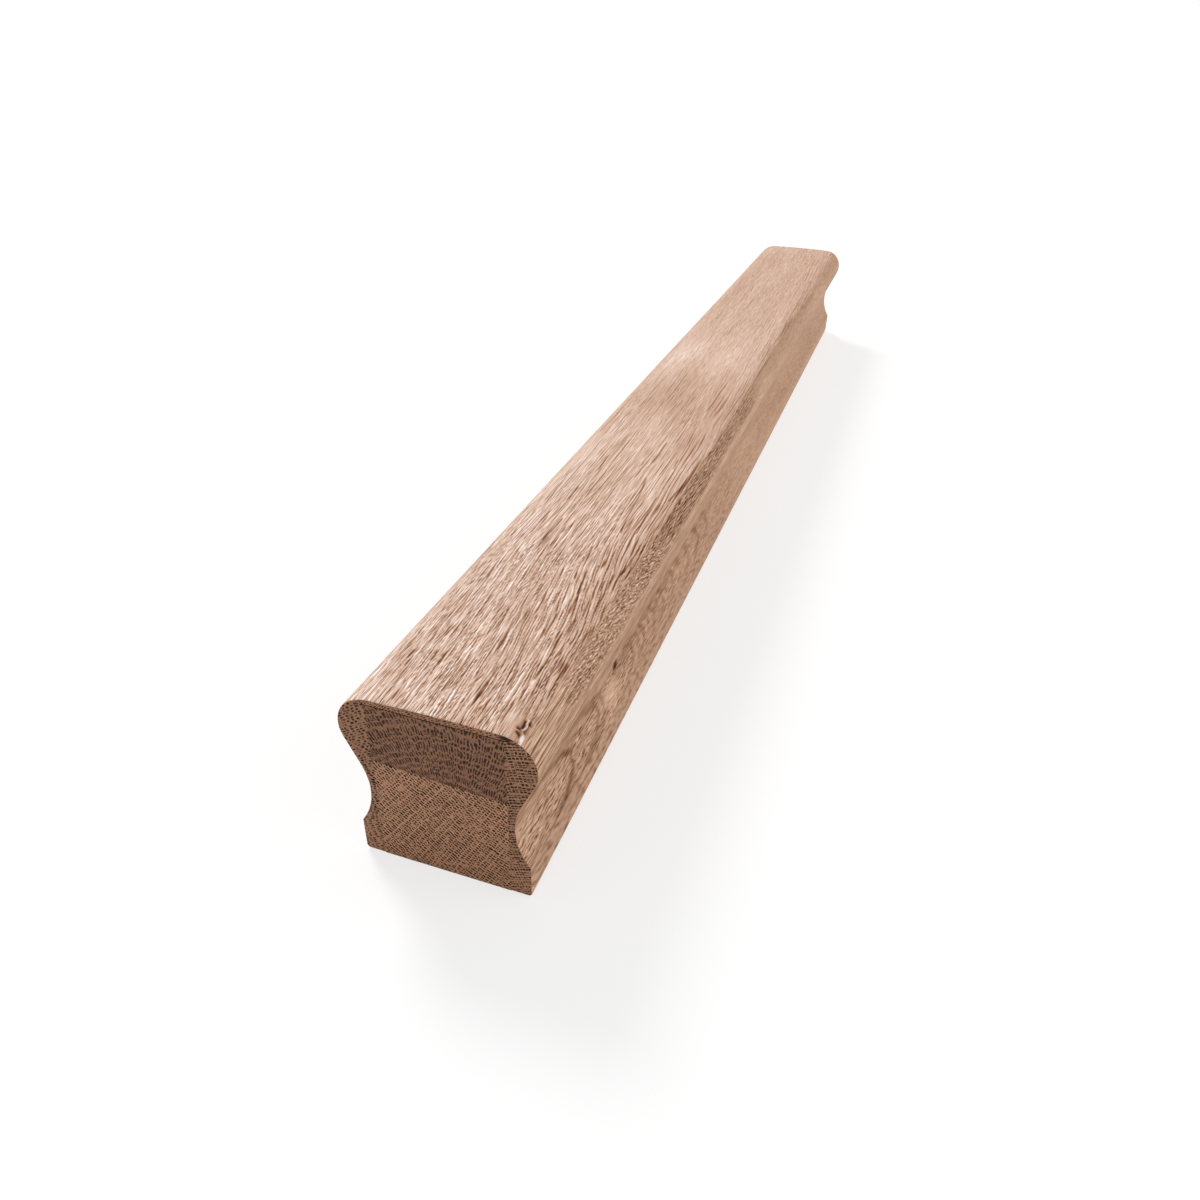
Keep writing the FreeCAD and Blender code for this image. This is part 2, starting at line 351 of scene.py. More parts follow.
def spread(skin):
    """Distance from the near end and distance along the skin, for every point of a board's skin."""
    run = np.concatenate([[0], np.cumsum(np.linalg.norm(np.diff(skin, axis=0), axis=1))])
    return np.meshgrid(stations, run, indexing="ij")


# %% [markdown]
# ### The top board
#
# Its furrows are about a millimetre apart. They start square to the near end and then
# sweep to the left, where the tree was not quite straight. On the right some pores are
# long and dark enough to be drawn one by one, each as a path on the skin. The distance to
# a path gives the depth of the cut and its mask. The grain is calmer towards the far end,
# and the cut runs out towards the two glue seams, where the board ends in thin edges.
# Places are in millimetres, from the near end and from the middle of the crown.

# %% Paths on the top board
def top_grid():
    """Distances on the top skin: from the near end, and from the crown's middle, plus to the left."""
    along, across = spread(top_skin)
    return along, across.max() / 2 - across


def near_path(along, off, path, reach):
    """1 on a path of (along, off) points, fading over reach in mm."""
    nearest = np.full(along.shape, 1e9)
    for (a0, b0), (a1, b1) in zip(path[:-1], path[1:]):
        run_a, run_b = a1 - a0, b1 - b0
        t = np.clip(((along - a0) * run_a + (off - b0) * run_b) / (run_a ** 2 + run_b ** 2), 0, 1)
        nearest = np.minimum(nearest, np.hypot(along - a0 - t * run_a, off - b0 - t * run_b))
    return np.exp(-(nearest / reach) ** 2)


def near_paths(along, off, paths, reach):
    """1 on any of several paths."""
    return np.max([near_path(along, off, path, reach) for path in paths], axis=0)


long_pores = [
    [(18, -12.3), (25, -12.1)], [(42, -12.7), (54, -12.0)], [(42, -16.1), (46, -16.0)],
    [(55, -15.2), (64, -14.2)], [(66, -13.5), (79, -11.7)], [(86, -9.2), (94, -8.1)],
    [(22, -21.3), (33, -20.4)], [(23, -17.7), (29, -17.6)], [(28, -23.6), (34, -23.3)],
    [(46, -18.3), (53, -17.7)], [(62, -21.3), (70, -21.0)], [(70, -19.5), (75, -18.8)],
    [(75, -20.6), (80, -20.0)], [(45, -23.4), (50, -23.3)], [(10, -7.2), (18, -6.8)],
    [(58, -8.8), (64, -8.1)], [(92, 8.4), (108, 8.0)], [(84, -22.6), (93, -22.2)],
    [(106, -13.8), (116, -12.4), (135, -11.3), (148, -9.4)],
    [(108, -18.8), (121, -17.9), (135, -17.4)], [(123, 11.6), (134, 11.8)],
    [(150, 9.5), (163, 10.7)], [(164, -7.6), (183, -7.4)], [(160, -16.6), (170, -15.8)],
    [(135, -22.0), (151, -23.2)]]
print("long pores on the top board:", len(long_pores))

# %% Relief of the top board
# The two broad pale patches near 300 mm are painted sheen; the small one at 136 mm is paler wood.
top_sheen_and_pale_wood = [((302, 8), (32, 20), 0.27), ((293, 17), (20, 7), 0.3), ((136, -15), (5, 1.2), 0.5)]
top_dark = [((228, 2), (32, 40), 0.4), ((185, -16), (16, 5), 0.3), ((360, -23.7), (17, 0.8), 0.45)]


def top_relief():
    """Depth of cut in mm, and the masks that the colour follows, for the top board."""
    along, off = top_grid()
    calm = (1 - 0.68 * step(along, 70, 290)) * (1 + 0.28 * step(-along, -140, -50))
    sweep = (5.5 * step(along, 0, 95) * np.exp(-((off + 5) / 24) ** 2)
             + 3.2 * step(along, 40, 110) * np.exp(-((off + 13) / 10) ** 2))
    line = off - 0.015 * along - sweep + 0.5 * wood_noise(along / 40, off / 8, 11)
    # Beyond about 110 mm the pattern is drawn out, because the stations there are further apart.
    drawn = along - 14 * np.logaddexp(0, (along - 110) / 20)
    groove = furrows(drawn, line, 0.86, 15, 1, 0.5)
    hair = furrows(drawn, line, 0.52, 9, 5) * (1 - 0.7 * step(along, 90, 200))
    crest = furrows(drawn, line + 0.5, 1.0, 13, 15)
    swell = wood_noise(drawn / 20, line / 3.0, 9)
    pore = near_paths(along, off, long_pores, 0.25)

    rim = 1 - step(-off, 20.5, 24.2) - 0.6 * step(off, 21.5, 24.2)
    cut = calm * (0.27 * groove + 0.17 * hair + 0.06 * swell - 0.12 * crest) + 0.26 * pore + 0.15
    near, right_edge = step(-along, -220, -40), step(-off, 19, 24)
    pale_and_highlight = patches(along, off, top_sheen_and_pale_wood) + 0.18 * near * step(off, 6, 22)
    # Painted highlights on the raised crests between the furrows, fewer towards the right edge.
    pale_and_highlight += 1.15 * calm * crest * (1 - groove) * (1 - 0.6 * step(-off, 12, 22))
    dark = patches(along, off, top_dark) + 0.35 * step(along, 110, 400)
    dark += near * (0.08 * step(-off, 4, 18) + 0.06 * step(-off, 13, 19))
    # Painted shade along the right edge, where the crown turns down over the shoulder, away from the
    # light.
    dark += (0.12 + 0.16 * step(along, 50, 90) * near) * right_edge
    furrow = np.clip(calm * (1.05 * groove + 0.85 * hair * (1 - 0.4 * groove) + 0.1 * swell), 0, 1)
    return rim * cut + 0.02, {"groove": furrow, "pore": 0.78 * pore, "pale_and_highlight": pale_and_highlight, "darker_grain_and_shade": dark}


# %% [markdown]
# ### The broken corner
#
# At the near end the top board runs out to a feather edge over the right shoulder, and a
# pin knot has broken it. A splinter stands in a dark hollow in the shape of a Y, with a
# painted highlight on its right arm, and the bare wood at the end edge is almost white.

# %% Broken corner
stem = [[(2.4, -23.9), (3.5, -23.3), (4.2, -23.0)], [(3.5, -23.1), (3.8, -21.7)]]
right_arm = [(4.6, -22.7), (5.2, -23.1), (6.4, -23.3), (7.1, -22.9), (8.4, -22.8)]
cracks = [
    [(4.2, -23.6), (5.5, -23.9), (6.7, -23.8), (7.9, -23.4)],
    [(3.6, -22.6), (4.3, -22.1), (4.6, -21.4)],
    [(2.0, -23.2), (2.8, -22.6), (3.2, -21.8)],
    [(5.2, -22.5), (6.6, -22.4), (7.6, -22.2)]]
bare_edge = [(-0.3, -24.3), (1.1, -24.25)], [(1.3, -24.1), (2.4, -23.85)]


def break_corner(depth, masks):
    """Adds the broken corner to the top board's relief."""
    along, off = top_grid()
    hollow = patch(along, off, (4.8, -22.7), (3.6, 1.7))
    arm = near_path(along, off, right_arm, 0.24)
    splinter = np.maximum(arm, near_paths(along, off, stem, 0.3))
    crack = near_paths(along, off, cracks, 0.38) * (1 - splinter)
    bright_break = np.maximum(
        near_path(along, off, bare_edge[0], 0.38), near_path(along, off, bare_edge[1], 0.55))
    calm = 1 - np.clip(hollow + bright_break + 0.75 * patch(along, off, (4, -20.5), (8, 3.5)), 0, 1)
    depth = depth * calm + 0.1 * (1 - calm) + 0.25 * hollow + 0.40 * crack - 0.32 * splinter
    furrow = np.clip(masks["groove"] * calm + 0.75 * hollow, 0, 1)
    masks["groove"] = furrow * (1 - 0.7 * splinter) * (1 - bright_break)
    masks["pore"] = np.clip(masks["pore"] * calm + 1.2 * crack, 0, 1) * (1 - bright_break)
    masks["pale_and_highlight"] = masks["pale_and_highlight"] * calm
    # A painted highlight on the splinter's right arm, and the pale bare wood at the end edge.
    masks["bright_break"] = np.clip(0.7 * arm + 1.4 * bright_break, 0, 1)
    return np.maximum(depth, 0), masks


top_depth, top_masks = break_corner(*top_relief())
print("deepest cut in the top board, mm:", round(float(top_depth.max()), 2))

# %% [markdown]
# ### Making a board
#
# Every board is one closed mesh: its skin with the relief cut inwards along the section's
# normal, its flat glue faces, and its two sawn ends. The masks ride along on the points as
# attributes, so that the colour of a furrow is exactly where the furrow is.

# %% Outlines and mesh of a board
planing, end_ease, end_reach = 0.04, 0.12, 0.2


def cut_outlines(skin, glue, depth):
    """The board's outline at every station in mm, with the relief cut inwards from its skin."""
    along, _ = spread(skin)
    tangent = np.gradient(skin, axis=0)
    tangent /= np.linalg.norm(tangent, axis=1)[:, None]
    inward = np.column_stack([-tangent[:, 1], tangent[:, 0]])
    ends = np.minimum(along, rail_length - along)
    cut = planing + depth + end_ease * (1 - step(ends, 0, end_reach))
    skin_yz = skin[None] + inward[None] * cut[..., None]
    glue_yz = np.repeat(np.array(glue, float).reshape(1, -1, 2), len(stations), axis=0)
    return np.concatenate([skin_yz, glue_yz], axis=1)


def closed_mesh(name, outlines):
    """A closed mesh through the outlines, with one face over each end."""
    width = outlines.shape[1]
    x = np.repeat((stations - rail_length / 2)[:, None], width, axis=1)
    points = np.concatenate([x[..., None], outlines], axis=2).reshape(-1, 3) / 1000
    index = np.arange(len(points)).reshape(len(stations), width)
    beside = np.roll(index, -1, axis=1)
    sides = np.stack([index[:-1], beside[:-1], beside[1:], index[1:]], axis=2).reshape(-1, 4)
    faces = sides.tolist() + [index[0, ::-1].tolist(), index[-1].tolist()]
    mesh = bpy.data.meshes.new(name)
    mesh.from_pydata(points.tolist(), [], faces)
    mesh.shade_smooth()
    return mesh


def sharpen(mesh, width, columns):
    """Keeps the edges round both ends sharp, and the long edges at these points of the outline."""
    pairs = np.empty(len(mesh.edges) * 2, np.int64)
    mesh.edges.foreach_get("vertices", pairs)
    pairs = pairs.reshape(-1, 2)
    row, column = pairs // width, pairs % width
    at_end = (row[:, 0] == row[:, 1]) & np.isin(row[:, 0], (0, len(stations) - 1))
    along_edge = (column[:, 0] == column[:, 1]) & np.isin(column[:, 0], columns)
    sharp = mesh.attributes.new("sharp_edge", "BOOLEAN", "EDGE")
    sharp.data.foreach_set("value", at_end | along_edge)


# %% Board builder
def planed_board(name, skin, glue, crisp, depth, masks):
    """A board as a mesh in place of a CAD node; the long edges at its crisp skin points stay sharp."""
    outlines = cut_outlines(skin, glue, depth)
    width = outlines.shape[1]
    mesh = closed_mesh(name, outlines)
    sharpen(mesh, width, list(crisp) + list(range(len(skin) - 1, width)) + [0])
    for mask, values in masks.items():
        layer = mesh.attributes.new(mask, "FLOAT", "POINT")
        full = np.zeros((len(stations), width))
        full[:, :len(skin)] = values
        layer.data.foreach_set("value", full.ravel())

    board = bpy.data.objects.new("planed_" + name, mesh)
    bpy.context.scene.collection.objects.link(board)
    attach(board, "root")
    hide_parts(name)
    print(name, len(mesh.vertices), "points", len(mesh.polygons), "faces")
    return board


# %% Top board
top_board = planed_board("top_face_board", top_skin, [], [], top_depth, top_masks)

# %% [markdown]
# ### The side boards
#
# A side board goes round the shoulder, down the flank, through the finger groove and over
# the foot. On the shoulder its lines are fine and straight, with a strip of short slanting
# flecks where the cutter meets the rays of the wood. In the groove the cutter slices
# across the growth rings, which show as a row of arches that all point the same way. The
# right board is by far the more figured one. Places on a side board are in millimetres,
# from the near end and from the glue seam on the shoulder.

# %% Arches, flecks and slow changes of tone
arches_right = {
    19: 0.4, 38: 1.0, 47: 0.4, 60: 0.7, 66: 0.6, 96: 0.5, 102: 0.4, 108: 0.6, 114: 0.45, 120: 0.6,
    126: 0.45, 132: 0.6, 138: 0.45, 146: 0.6, 156: 0.6, 168: 0.5, 183: 0.8, 198: 0.6, 240: 0.4,
    310: 0.5, 400: 0.4, 480: 0.5}
arches_left = {
    24: 0.7, 44: 0.5, 71: 0.9, 83: 0.4, 92: 0.6, 118: 0.8, 131: 0.4, 160: 0.7, 171: 0.4, 197: 0.8,
    224: 0.5, 239: 0.6, 270: 0.8, 301: 0.5, 318: 0.7, 352: 0.6, 381: 0.8, 400: 0.4, 437: 0.7,
    466: 0.5, 525: 0.6}
groove_middle = 40


def ring_arches(along, run, arches, seed):
    """Growth rings sliced to arches in the finger groove; arches gives each one's place and strength."""
    aside = np.abs(run - groove_middle) / np.where(run < groove_middle, 7.0, 5.2)
    nose = along + 11 * aside ** 2.6 + 1.6 * wood_noise(along / 7, run / 2.4, seed + 11)
    slant = np.hypot(1, 4.7 * aside ** 1.6)
    arch = np.max([part * np.exp(-((nose - end) / slant / 1.1) ** 2)
                   for end, part in arches.items()], axis=0)
    legs = step(aside, 0.5, 1.1) * step(along, 60, 90)
    return arch * step(run, 27, 31) * step(-run, -47.2, -46.4) * (1 - 0.8 * legs)


def ray_flecks(along, run, seed):
    """Short slanting flecks, and the glints beside them."""
    slanted = run - 0.28 * along
    fleck = np.maximum(furrows(along, slanted, 0.85, 2.0, seed + 10, 0.0),
                       0.8 * furrows(along, run + 0.1 * along, 0.75, 1.6, seed + 12, 0.1))
    glint = furrows(along, slanted + 0.5, 0.9, 2.2, seed + 19)
    beyond = step(along, 150, 210)
    return fleck * (1 - 0.45 * beyond), glint * (2.3 - 0.9 * step(along, 90, 140) - 0.8 * beyond)


def slow_tone_shade_and_highlight(along, run, in_groove, on_foot):
    """Slow changes along a side board, darker where they are more than 0, with painted shade on the
    flank under the shoulder and a painted highlight along the bottom edge of the foot.
    """
    not_far, far = step(-along, -260, -190), step(along, 180, 320)
    middle = step(along, 55, 75) * not_far
    tone = 0.08 + 0.2 * far + 0.14 * on_foot * (1 - 1.6 * far)
    tone += middle * (0.06 + 0.2 * step(-run, -41, -38)) * in_groove
    tone += 0.12 * middle * on_foot * step(-run, -51, -49)
    # Painted shade on the flank, which leans in under the shoulder and faces down.
    tone += 0.2 * step(run, 10.5, 12) * step(-run, -33, -29) * not_far
    # Painted highlight along the bottom edge of the foot.
    return tone - 0.28 * step(run, 51, 55) * step(along, 60, 90)


# %% Relief of a side board
def side_relief(arches, figure, seed):
    """Depth of cut and masks for a side board; figure is how strongly it is flecked and mottled."""
    along, run = spread(side_skin)
    in_groove = step(run, 33.5, 35.5) * step(-run, -46.8, -45.8)
    on_foot = step(run, 46.4, 47.2)
    on_shoulder = figure * step(run, 0.2, 1.0) * step(-run, -9.5, -6.5)
    on_shoulder *= step(along, 14, 40) * step(-along, -290, -245)
    open_lines = step(-run, -16, -12) * step(-along, -48, -30)
    calm = 1 - 0.6 * step(along, 150, 300)

    line = run - 0.004 * along + 0.3 * wood_noise(along / 60, run / 8, seed)
    lines = 0.45 * furrows(along, line, 0.9, 24, seed + 1)
    lines += 0.45 * furrows(along, line, 0.6, 12, seed + 5)
    lines *= 1 + 1.1 * open_lines
    dashes = furrows(along, line, 0.95, 3.8, seed + 9, -0.2) * (1 - 0.4 * step(along, 85, 100))
    fleck, glints = (part * on_shoulder for part in ray_flecks(along, run, seed))
    glints += furrows(along, line + 0.4, 1.0, 3.8, seed + 17, 0.0) * in_groove
    glints += 0.9 * furrows(along, line + 0.4, 1.1, 18, seed + 23) * open_lines
    groove = lines * (1 - in_groove) * (1 - 0.6 * on_foot) + 0.9 * dashes * in_groove
    groove = groove * (1 - 0.6 * on_shoulder) + 1.4 * fleck
    arch = ring_arches(along, run, arches, seed)
    mottle = wood_noise((along + run) / 6, (run - 0.5 * along) / 2.0, seed + 13)

    depth = calm * (0.12 * groove + 0.10 * arch) + 0.12 * fleck - 0.02 * glints + 0.03
    dark = 0.95 * arch + (0.15 + 0.9 * figure * on_foot) * mottle + 0.20 * in_groove
    dark += (0.05 + 0.22 * step(along, 80, 130)) * on_shoulder
    shown = np.maximum(calm, on_shoulder)
    return depth, {
        "groove": np.clip(shown * groove * (1 - 0.7 * arch), 0, 1),
        "darker_grain_and_shade": shown * dark + slow_tone_shade_and_highlight(along, run, in_groove, on_foot),
        "pale_and_highlight": 1.15 * shown * glints * (1 - arch)}


right_depth, right_masks = side_relief(arches_right, 1.0, 21)
left_depth, left_masks = side_relief(arches_left, 0.12, 41)
deepest = [round(float(depth.max()), 2) for depth in (right_depth, left_depth)]
print("deepest cut in the side boards, mm:", deepest)

# %% [markdown]
# ### The knot
#
# A pin knot sits in the right finger groove, a hand's width from the near end, with a
# pale oval of calm wood in front of it. It is a dent of its own, with its own dark mask.
# Near the end painted light makes the side a little paler along the glue seam, where the
# shoulder still faces up. In its far half the seam shows as a thin dark line, so a few long
# soft marks are laid along it.

# %% Knot
knot_depth = 0.25
seam_marks = [
    ((290, 0.2), (26, 0.8), 0.55), ((362, 0.3), (16, 0.9), 0.6), ((425, 1.8), (32, 1.4), 0.4)]
along, run = spread(side_skin)
knot = patch(along, run, (79.6, 35.4), (1.7, 1.5))
oval = patch(along, run, (71.5, 41), (7.0, 4.4))
behind = patch(along, run, (88, 37.5), (8, 3))
right_depth += knot_depth * knot
right_masks["groove"] *= 1 - 0.8 * oval
right_masks["pore"] = 0.8 * knot
darker_grain_and_shade = np.clip(right_masks["darker_grain_and_shade"] * (1 - oval) + 1.4 * knot + 0.35 * behind, 0, 1.6)
right_masks["darker_grain_and_shade"] = darker_grain_and_shade + patches(along, run, seam_marks)
# Painted light along the glue seam near the end, where the shoulder still faces up; the oval is paler
# wood.
right_masks["pale_and_highlight"] += 0.16 * oval + 0.2 * step(-run, -7, -1) * step(-along, -60, -20)
print("knot depth in mm:", round(float((knot_depth * knot).max()), 2))

# %% Side boards
right_board = planed_board(
    "right_face_board", side_skin * (-1, 1), [(-core_half, top_seam)], [base_corner],
    right_depth, right_masks)
left_board = planed_board(
    "left_face_board", side_skin[::-1], [(core_half, top_seam)], [len(side_skin) - 1 - base_corner],
    left_depth[:, ::-1], {mask: values[:, ::-1] for mask, values in left_masks.items()})

# %% [markdown]
# ## What the saw shows
#
# On a sawn end the growth rings are arcs round the heart of the tree. The pores stand in
# them like the rungs of a ladder, with pale rays between. The heart lies somewhere outside
# each board. A group of nodes measures the distance and the angle from it, and from these
# it makes the rings, the rungs and the rays. Noise makes them uneven, and a board can have
# one patch on its near end: a darker patch by the broken corner of the top board, and
# painted light that makes the foot of each side board paler. Every board gets the same
# group with its own heart.

# %% Helpers for node groups
def node_group(name, takes, gives):
    """An empty shader group: named inputs with their usual values, and named outputs by kind."""
    group = bpy.data.node_groups.new(name, "ShaderNodeTree")
    for label, value in takes.items():
        kind = "NodeSocketColor" if isinstance(value, tuple) else "NodeSocketFloat"
        socket = group.interface.new_socket(label, in_out="INPUT", socket_type=kind)
        socket.default_value = value
    for label, kind in gives.items():
        group.interface.new_socket(label, in_out="OUTPUT", socket_type="NodeSocket" + kind)
    return group, group.nodes.new("NodeGroupInput").outputs, group.nodes.new("NodeGroupOutput").inputs


def place_in_mm(tree):
    """The point that is being shaded, in millimetres of the frame."""
    metres = add(tree, "TexCoord").outputs["Object"]
    return add(tree, "VectorMath", {0: metres, "Scale": 1000.0}, operation="SCALE").outputs[0]


def distance(tree, first, second):
    """The straight distance from two distances at right angles."""
    squares = [sum_of(tree, "MULTIPLY", part, part) for part in (first, second)]
    return sum_of(tree, "SQRT", sum_of(tree, "ADD", *squares))


# %% Node group for the sawn ends
sawn_rings, takes, gives = node_group(
    "sawn_rings",
    {"Heart Y": 0.0, "Heart Z": -20.0, "Ring Width": 1.6, "Mean Radius": 40.0, "Pore Spacing": 0.6,
     "Pore Length": 0.7, "Pore Width": 0.6, "Scatter": 0.0, "Loose": 1.0, "Uneven": 1.0,
     "Ragged": 0.3, "Wander": 0.9,
     "Patch Y": 0.0, "Patch Z": 0.0, "Patch Reach": 1.0, "Patch Tone": 0.0},
    {"Rays": "Float", "Pores": "Float", "Patch": "Float"})
t = sawn_rings
place = place_in_mm(t)
drift = add(t, "TexNoise", {"Vector": place, "Scale": 0.25, "Detail": 4.0, "Roughness": 0.65})
drift = add(t, "VectorMath", [drift.outputs["Color"], (0.5, 0.5, 0.5)], operation="SUBTRACT").outputs[0]
drift = add(t, "VectorMath", {0: drift, "Scale": takes["Wander"]}, operation="SCALE").outputs[0]
place = add(t, "VectorMath", [place, drift], operation="ADD").outputs[0]
part = add(t, "SeparateXYZ", [place]).outputs
print("group", sawn_rings.name, "takes", len(takes) - 1, "values")

# %% Rings and rungs, numbered outwards and round the heart
out_y = sum_of(t, "SUBTRACT", part["Y"], takes["Heart Y"])
out_z = sum_of(t, "SUBTRACT", part["Z"], takes["Heart Z"])
turn = sum_of(t, "ARCTAN2", out_z, out_y)
ring = sum_of(t, "DIVIDE", distance(t, out_y, out_z), takes["Ring Width"])
uneven = add(t, "TexNoise", {"W": ring, "Scale": 0.45, "Detail": 1.0}, noise_dimensions="1D").outputs[0]
ring = sum_of(t, "MULTIPLY_ADD", uneven, takes["Uneven"], ring)
rung = sum_of(t, "DIVIDE", sum_of(t, "MULTIPLY", turn, takes["Mean Radius"]), takes["Pore Spacing"])
ragged = add(t, "TexNoise", {"W": rung, "Scale": 0.4, "Detail": 1.0}, noise_dimensions="1D").outputs[0]
rung = sum_of(t, "MULTIPLY_ADD", ragged, takes["Ragged"], rung)
slip = add(t, "TexWhiteNoise", {"W": sum_of(t, "FLOOR", rung)}, noise_dimensions="1D").outputs["Value"]
ring = sum_of(t, "MULTIPLY_ADD", slip, takes["Scatter"], ring)
print("nodes for rings and rungs:", len(t.nodes))

# %% Pores, each with its own width and start
soft_ring, soft_in, soft_out = 0.12, 0.08, 0.06
which = add(t, "CombineXYZ", [sum_of(t, "FLOOR", ring), sum_of(t, "FLOOR", rung), 0.0]).outputs[0]
chance = add(t, "TexWhiteNoise", {"Vector": which}, noise_dimensions="2D").outputs["Value"]
beside = sum_of(t, "ABSOLUTE", sum_of(t, "SUBTRACT", sum_of(t, "FRACT", rung), 0.5))
half_pore = sum_of(t, "MULTIPLY", takes["Pore Width"], sum_of(t, "MULTIPLY_ADD", chance, 0.3, 0.4))
open_rung = ease(
    t, beside, sum_of(t, "ADD", half_pore, soft_out), sum_of(t, "SUBTRACT", half_pore, soft_in))
kind = add(t, "TexWhiteNoise", {"Vector": which, "W": 3.0}, noise_dimensions="4D").outputs["Value"]
spare = sum_of(t, "SUBTRACT", 0.95, takes["Pore Length"])
start = sum_of(t, "MULTIPLY", sum_of(t, "MULTIPLY", kind, takes["Loose"]), spare)
stop = sum_of(t, "ADD", start, takes["Pore Length"])
within = sum_of(t, "FRACT", ring)
open_ring = sum_of(t, "MULTIPLY", ease(t, within, start, sum_of(t, "ADD", start, soft_ring)),
                   ease(t, within, stop, sum_of(t, "SUBTRACT", stop, soft_ring)))
broken = add(t, "TexNoise", {"Vector": place, "Scale": 0.9, "Detail": 2.0}).outputs[0]
pores = sum_of(t, "MULTIPLY", sum_of(t, "MULTIPLY", open_rung, open_ring), ease(t, broken, 0.30, 0.54))
t.links.new(pores, gives["Pores"])
print("nodes with the pores:", len(t.nodes))

# %% Rays between the rungs, and a patch on the near end: darker wood on the top board, painted light on the side boards
bright = add(t, "TexWhiteNoise", {"W": sum_of(t, "ROUND", rung)}, noise_dimensions="1D").outputs["Value"]
bright = sum_of(t, "MULTIPLY", bright, ease(t, broken, 0.36, 0.60))
t.links.new(sum_of(t, "MULTIPLY", ease(t, beside, 0.36, 0.47), bright), gives["Rays"])
aside = sum_of(t, "SUBTRACT", part["Y"], takes["Patch Y"])
above = sum_of(t, "MULTIPLY", sum_of(t, "SUBTRACT", part["Z"], takes["Patch Z"]), 2.0)
in_patch = ease(t, distance(t, aside, above), takes["Patch Reach"], 0.0)
in_patch = sum_of(t, "MULTIPLY", in_patch, ease(t, part["X"], 0.0, -1.0))
t.links.new(sum_of(t, "MULTIPLY", in_patch, takes["Patch Tone"]), gives["Patch"])
print("group", sawn_rings.name, "nodes:", len(sawn_rings.nodes))

# %% [markdown]
# ## What the planer shows
#
# Along the rail the same wood looks quite different: pale ridges, brown furrows, dark open
# pores, and arches where the cutter slices the growth rings. Those come from the masks on
# the mesh, which also carry painted highlights, painted sheen and painted shade. This group
# adds the fibres that are too fine for it, and a slow change of tone.

# %% Node group for the long faces
planed_fibres, takes, gives = node_group(
    "planed_fibres", {"Fibre Width": 0.3, "Fibre Length": 9.0, "Lean": 0.03},
    {"Fibres": "Float", "Cloud": "Float"})
t = planed_fibres
cloud_scale = (0.012, 0.09, 0.09)
place = place_in_mm(t)
part = add(t, "SeparateXYZ", [place]).outputs
across_y = sum_of(t, "SUBTRACT", part["Y"], sum_of(t, "MULTIPLY", part["X"], takes["Lean"]))
fibre = add(t, "CombineXYZ", [
    sum_of(t, "DIVIDE", part["X"], takes["Fibre Length"]),
    sum_of(t, "DIVIDE", across_y, takes["Fibre Width"]),
    sum_of(t, "DIVIDE", part["Z"], takes["Fibre Width"])]).outputs[0]
fibres = add(t, "TexNoise", {"Vector": fibre, "Scale": 1.0, "Detail": 2.0}).outputs[0]
t.links.new(fibres, gives["Fibres"])
soft = add(t, "VectorMath", [place, cloud_scale], operation="MULTIPLY").outputs[0]
t.links.new(add(t, "TexNoise", {"Vector": soft, "Scale": 1.0, "Detail": 1.0}).outputs[0], gives["Cloud"])
print("group", planed_fibres.name, "nodes:", len(planed_fibres.nodes))

# %% [markdown]
# ## Oak, board by board
#
# The five boards are the same timber from different trees, so they share one recipe with
# their own colours, but the right board, which lies in shade, gets a darker and redder copy
# of the top's colour as painted shade. On the planed faces one number, the tone, says how
# light the wood is, with painted shade and painted highlights in it. Green and blue follow
# powers of it, so dark wood turns redder and bright wood paler.
# Bare oak has no varnish: it is rough and hardly shines. Sawn end grain drinks light and
# is much darker than the planed faces.

# %% Node group for the colour: the planed faces
oak_colour, takes, gives = node_group(
    "oak_colour",
    {"Ridge": srgb(222, 190, 170), "Green Power": 1.26, "Blue Power": 1.48,
     "Bright Break": srgb(250, 238, 228),
     "End Pale": srgb(180, 136, 108), "End Dark": srgb(58, 36, 25),
     "Fibres": 0.5, "Cloud": 0.5, "Rays": 0.0, "Pores": 0.0, "Patch": 0.0},
    {"Colour": "Color", "Roughness": "Float", "Height": "Float"})
t = oak_colour
groove_dark, pale_and_highlight_lift, grain_and_shade_dark, pore_dark, darkest = -0.70, 0.30, -0.45, -0.82, 0.05
mask_names = ("groove", "pore", "pale_and_highlight", "darker_grain_and_shade", "bright_break")
masks = {name: add(t, "Attribute", attribute_name=name).outputs["Fac"] for name in mask_names}
streak = add(t, "MapRange", [takes["Fibres"], 0.25, 0.75, 0.76, 1.16]).outputs[0]
cloud = add(t, "MapRange", [takes["Cloud"], 0.3, 0.7, 0.93, 1.05]).outputs[0]
tone = sum_of(t, "MULTIPLY", streak, cloud)
tone = sum_of(t, "MULTIPLY", tone, sum_of(t, "MULTIPLY_ADD", masks["groove"], groove_dark, 1.0))
# This mask lifts the tone: paler wood and glints, and the painted highlights, sheen and light laid into
# it.
tone = sum_of(t, "MULTIPLY_ADD", masks["pale_and_highlight"], pale_and_highlight_lift, tone)
# This mask darkens the tone: darker grain, the knot and the seam line, and painted shade on the top's
# right edge and on the side boards' flanks; below 0 it lightens.
tone = sum_of(t, "MULTIPLY_ADD", masks["darker_grain_and_shade"], grain_and_shade_dark, tone)
tone = sum_of(t, "MULTIPLY", tone, sum_of(t, "MULTIPLY_ADD", masks["pore"], pore_dark, 1.0))
tone = sum_of(t, "MAXIMUM", tone, darkest)
tint = add(t, "CombineColor", [tone, sum_of(t, "POWER", tone, takes["Green Power"]),
                               sum_of(t, "POWER", tone, takes["Blue Power"])]).outputs[0]
long_colour = blend(t, 1.0, takes["Ridge"], tint, "MULTIPLY")
# Pale bare wood at the broken end edge, and a painted highlight on the splinter's right arm.
long_colour = blend(t, masks["bright_break"], long_colour, takes["Bright Break"])
print("masks in the colour:", mask_names)

